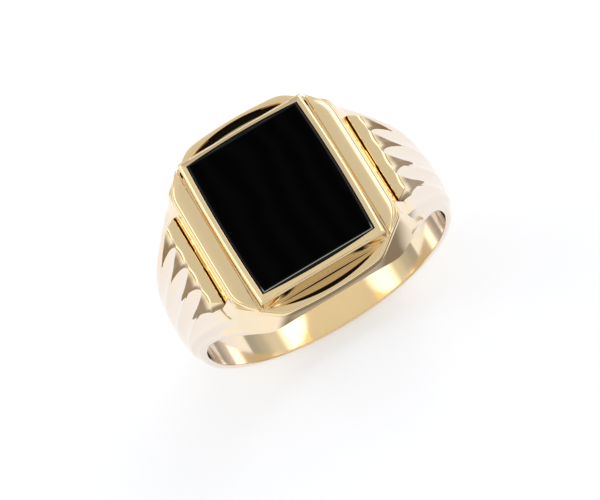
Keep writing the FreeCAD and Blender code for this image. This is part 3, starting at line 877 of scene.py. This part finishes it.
def gold_material(name, glance_sheen):
    """Mirror-polished yellow gold with a painted sheen at a glance, painted shade in corners, and
    fine hairlines.

    Two painted layers add painted shade: black in the hollows of the head frame, darker gold on the
    plates' teeth and walls.
    """
    material = bpy.data.materials.new(name)
    n = Nodes(material)
    place = n.place()
    facing = n.add("ShaderNodeLayerWeight", {"Blend": 0.5}).outputs["Facing"]
    glance = n.ramp(facing, list(zip(GLANCE_FACING, ((0, 0, 0), (glance_sheen,) * 3))))
    warm = n.mix(n.noise(place, scale=260.0, detail=3.0), GOLD, WARM_GOLD)
    color = n.mix(glance, warm, GLANCE_SHEEN_COLOR)
    # painted shade: corners darken with their ambient occlusion
    crevice = n.add("ShaderNodeAmbientOcclusion", {"Distance": CORNER_SHADE_REACH * MM},
                    samples=CORNER_SHADE_SAMPLES, only_local=False)
    corner_shade = n.rescale(crevice.outputs["AO"], CORNER_SHADE_OCCLUSION, CORNER_SHADE_AMOUNT)
    color = n.mix(corner_shade, color, CORNER_SHADE)
    # painted shade: black in the hollows, darker gold on the plates' teeth and walls
    color = n.mix(n.layer("hollow_shade"), color, HOLLOW_SHADE)
    color = n.mix(n.layer("shade"), color, PAINTED_SHADE_GOLD)
    roughness = n.rescale(n.noise(place, scale=900.0, detail=4.0), WHOLE_RANGE, (0.05, 0.11))
    stretch = n.add("ShaderNodeMapping", {"Vector": place, "Scale": (1.0, 14.0, 14.0)})
    hairs = n.noise(stretch.outputs[0], scale=2500.0, detail=2.0)
    bump = n.add("ShaderNodeBump", {"Height": hairs, "Strength": 0.02,
                                    "Distance": HAIRLINE_HEIGHT * MM})
    n.surface({"Base Color": color, "Metallic": 1.0, "Roughness": roughness,
               "Normal": bump.outputs[0]})
    return material


def satin_material():
    """Brushed gold on the finger hole's ceiling, where the polishing wheel does not reach."""
    material = bpy.data.materials.new("satin_gold")
    n = Nodes(material)
    place = n.place()
    color = n.mix(n.noise(place, scale=500.0, detail=4.0), SATIN_GOLD, DULL_SATIN)
    stretch = n.add("ShaderNodeMapping", {"Vector": place, "Scale": (12.0, 1.0, 12.0)})
    hairs = n.noise(stretch.outputs[0], scale=1500.0, detail=2.0)
    roughness = n.rescale(hairs, WHOLE_RANGE, (0.38, 0.55))
    n.surface({"Base Color": color, "Metallic": 1.0, "Roughness": roughness})
    return material


def onyx_material():
    """Black onyx: almost no colour of its own, very faint banding, a glassy polish, and a painted
    glint that glows along the table's front edge.
    """
    material = bpy.data.materials.new("black_onyx")
    n = Nodes(material)
    place = n.place()
    bands = n.add("ShaderNodeTexWave", {"Vector": place, "Scale": 160.0, "Distortion": 6.0,
                                        "Detail": 3.0})
    color = n.mix(bands.outputs["Fac"], (0.0008, 0.0008, 0.0011), (0.0022, 0.0020, 0.0024))
    roughness = n.rescale(n.noise(place, scale=1400.0, detail=3.0), WHOLE_RANGE, (0.10, 0.16))
    glint = n.layer("glint")
    normal = n.add("ShaderNodeNewGeometry").outputs["Normal"]
    tilt = n.add("ShaderNodeSeparateXYZ", {"Vector": normal}).outputs["Z"]
    polish = n.rescale(tilt, ONYX_TILT, ONYX_SHINE)
    polish = n.math("ADD", polish, n.math("MULTIPLY", glint, GLINT_SHINE))
    # painted glint: the glint layer adds shine and a glow along the front edge
    n.surface({"Base Color": color, "Roughness": roughness, "Specular IOR Level": polish,
               "Emission Color": (0.38, 0.38, 0.32, 1),
               "Emission Strength": n.math("MULTIPLY", glint, GLINT_GLOW)})
    return material


def cement_material():
    """Dark setting cement with a fine sandy grain."""
    material = bpy.data.materials.new("setting_cement")
    n = Nodes(material)
    sand = n.noise(n.place(), scale=3000.0, detail=5.0)
    color = n.mix(sand, (0.05, 0.047, 0.043), (0.13, 0.12, 0.11))
    bump = n.add("ShaderNodeBump", {"Height": sand, "Strength": 0.4,
                                    "Distance": SAND_HEIGHT * MM})
    n.surface({"Base Color": color, "Roughness": 0.85, "Normal": bump.outputs[0]})
    return material


# ---- the pieces
# the three golds differ only in how strong their painted sheen at a glance is
gold = gold_material("polished_gold", 0.15)
full_sheen_gold = gold_material("polished_full_sheen_gold", 1.0)
wall_gold = gold_material("polished_wall_gold", 0.45)
black = onyx_material()
cement = cement_material()
satin = satin_material()


def place_piece(piece, node, material=None):
    """Puts a piece in the place of a CAD node, with a material unless it has its own already."""
    if material:
        piece.data.materials.append(material)
    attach(piece, "root")
    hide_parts(node)


place_piece(shank(full_sheen_gold, wall_gold, satin), "shank")
place_piece(shoulder_plate(1), "right_shoulder_plate", gold)
place_piece(shoulder_plate(-1), "left_shoulder_plate", gold)
place_piece(head_frame(), "head_frame", gold)
place_piece(bezel(), "bezel", gold)
place_piece(rail(1), "right_rail", gold)
place_piece(rail(-1), "left_rail", gold)
place_piece(onyx(), "onyx_stone", black)
cement_bed = frame["nodes"]["setting_cement"].data
cement_bed.materials.clear()
cement_bed.materials.append(cement)


# ---- floor, light and camera
FLOOR_REACH = 1500.0
CARD_LIFT = 0.5                    # the dark card lies this far above the floor
CARD_X, CARD_Y = (-20, 66), (-70, -8)
CARD_EDGE = 0.34                   # it fades out from this share of its size off its middle
BOX_EDGE = 0.10                    # softness of the light boxes' edges
AHEAD_LEAST = 0.001                # nothing further round than this counts as ahead of a box


def floor():
    """Plain white table top, lit a little from within so that it stays white in the picture."""
    sheet = flat_sheet("floor", -FLOOR_REACH, FLOOR_REACH, -FLOOR_REACH, FLOOR_REACH, FLOOR_Z)
    material = bpy.data.materials.new("white_floor")
    Nodes(material).surface({
        "Base Color": (0.93, 0.95, 1.0, 1), "Roughness": 0.9, "Specular IOR Level": 0.0,
        "Emission Color": (1, 1, 1, 1), "Emission Strength": 0.25})
    sheet.data.materials.append(material)


def dark_card():
    """Dark sheet with soft edges in front of the ring, seen only in the metal's reflections."""
    sheet = flat_sheet("dark_card", *CARD_X, *CARD_Y, FLOOR_Z + CARD_LIFT)
    material = bpy.data.materials.new("dark_card")
    n = Nodes(material)
    across = n.add("ShaderNodeTexCoord").outputs["Generated"]
    place = n.add("ShaderNodeSeparateXYZ", {"Vector": across})
    strength = 1.0
    for axis in ("X", "Y"):
        from_middle = n.math("ABSOLUTE", n.math("SUBTRACT", place.outputs[axis], 0.5))
        fade = n.rescale(from_middle, (0.5, CARD_EDGE), WHOLE_RANGE,
                         interpolation_type="SMOOTHSTEP")
        strength = n.math("MULTIPLY", strength, fade)
    card = n.add("ShaderNodeEmission", {"Color": (0.27, 0.235, 0.20, 1), "Strength": 1.0})
    clear = n.add("ShaderNodeBsdfTransparent")
    surface = n.add("ShaderNodeMixShader", {0: strength, 1: clear.outputs[0], 2: card.outputs[0]})
    n.add("ShaderNodeOutputMaterial", {"Surface": surface.outputs[0]})
    sheet.data.materials.append(material)
    sheet.visible_camera = False
    sheet.visible_diffuse = False
    sheet.visible_shadow = False
    sheet.visible_transmission = False


def towards(azimuth, elevation):
    """Direction with these angles in degrees. Azimuth 0 is the front, -Y, and grows towards +X."""
    turn, lift = math.radians(azimuth), math.radians(elevation)
    level = math.cos(lift)
    return Vector((math.sin(turn) * level, -math.cos(turn) * level, math.sin(lift)))


def level_across(azimuth):
    """Level direction at right angles to an azimuth."""
    turn = math.radians(azimuth)
    return Vector((math.cos(turn), math.sin(turn), 0))


def soft_box(n, parts, azimuth, elevation, half_width, half_height):
    """1 inside a soft-edged rectangle of the sky and 0 outside. Its half sizes are angles too."""
    forward, across = towards(azimuth, elevation), level_across(azimuth)
    upward = across.cross(forward)

    def along(axis):
        total = n.math("MULTIPLY", parts[0], axis[0])
        for part, share in zip(parts[1:], axis[1:]):
            total = n.math("ADD", total, n.math("MULTIPLY", part, share))
        return total

    ahead = n.math("MAXIMUM", along(forward), AHEAD_LEAST)
    mask = n.math("GREATER_THAN", along(forward), AHEAD_LEAST)
    for axis, half in ((across, half_width), (upward, half_height)):
        reach = n.math("DIVIDE", n.math("ABSOLUTE", along(axis)), ahead)
        limit = math.tan(math.radians(half))
        fade = n.rescale(reach, (limit - BOX_EDGE, limit + BOX_EDGE), (1.0, 0.0),
                         interpolation_type="SMOOTHSTEP")
        mask = n.math("MULTIPLY", mask, fade)
    return mask


# Height in the sky, from the horizon at 0 to overhead at 1, and the brightness there.
SKY = [(0.0, 0.42), (0.10, 0.43), (0.22, 0.52), (0.40, 0.73), (0.60, 0.76), (0.85, 0.72),
       (0.94, 0.66), (1.0, 0.62)]
SKY_TINT = (1, 0.995, 0.985)
BOXES = [                          # azimuth, elevation, half width, half height, brightness
    (114, 45, 24, 11, 2.2),
    (-114, 40, 24, 10, 2.0),
]


def studio_world():
    """Soft studio: a sky that is grey overhead and dim near the horizon, a light box on each side."""
    world = bpy.data.worlds.new("studio")
    bpy.context.scene.world = world
    n = Nodes(world)
    direction = n.add("ShaderNodeTexCoord").outputs["Generated"]
    split = n.add("ShaderNodeSeparateXYZ", {"Vector": direction})
    parts = [split.outputs[i] for i in range(3)]
    sky = [(height, [brightness * tint for tint in SKY_TINT]) for height, brightness in SKY]
    light = n.ramp(parts[2], sky)
    for *place_and_size, brightness in BOXES:
        mask = soft_box(n, parts, *place_and_size)
        light = n.mix(mask, light, (brightness,) * 3)
    background = n.add("ShaderNodeBackground", {"Color": light, "Strength": 1.0})
    n.add("ShaderNodeOutputWorld", {"Surface": background.outputs[0]})


CAMERA_AZIMUTH, CAMERA_ELEVATION = -5.2, 69.4    # degrees
CAMERA_TILT = math.radians(-25.8)  # the camera is turned by this about its line of sight
CAMERA_AIM = Vector((-0.5, -1.8, 6.0))
CAMERA_DISTANCE = 243.4
LENS, SENSOR_WIDTH = 206.8, 36     # millimetres of the camera itself
CLIP_START = 0.01                  # metres


def camera():
    """Long lens high in front of the ring, turned so that the ring lies across the picture."""
    back = towards(CAMERA_AZIMUTH, CAMERA_ELEVATION)
    level = level_across(CAMERA_AZIMUTH)
    rise = back.cross(level)
    right = level * math.cos(CAMERA_TILT) + rise * math.sin(CAMERA_TILT)
    up = back.cross(right)
    data = bpy.data.cameras.new("camera")
    data.sensor_width = SENSOR_WIDTH
    data.lens = LENS
    data.clip_start = CLIP_START
    view = bpy.data.objects.new("camera", data)
    matrix = Matrix((right, up, back)).transposed().to_4x4()
    matrix.translation = CAMERA_AIM * MM + back * (CAMERA_DISTANCE * MM)
    view.matrix_world = matrix
    bpy.context.scene.collection.objects.link(view)
    bpy.context.scene.camera = view


floor()
dark_card()
studio_world()
camera()
bpy.context.scene.view_settings.view_transform = "Standard"
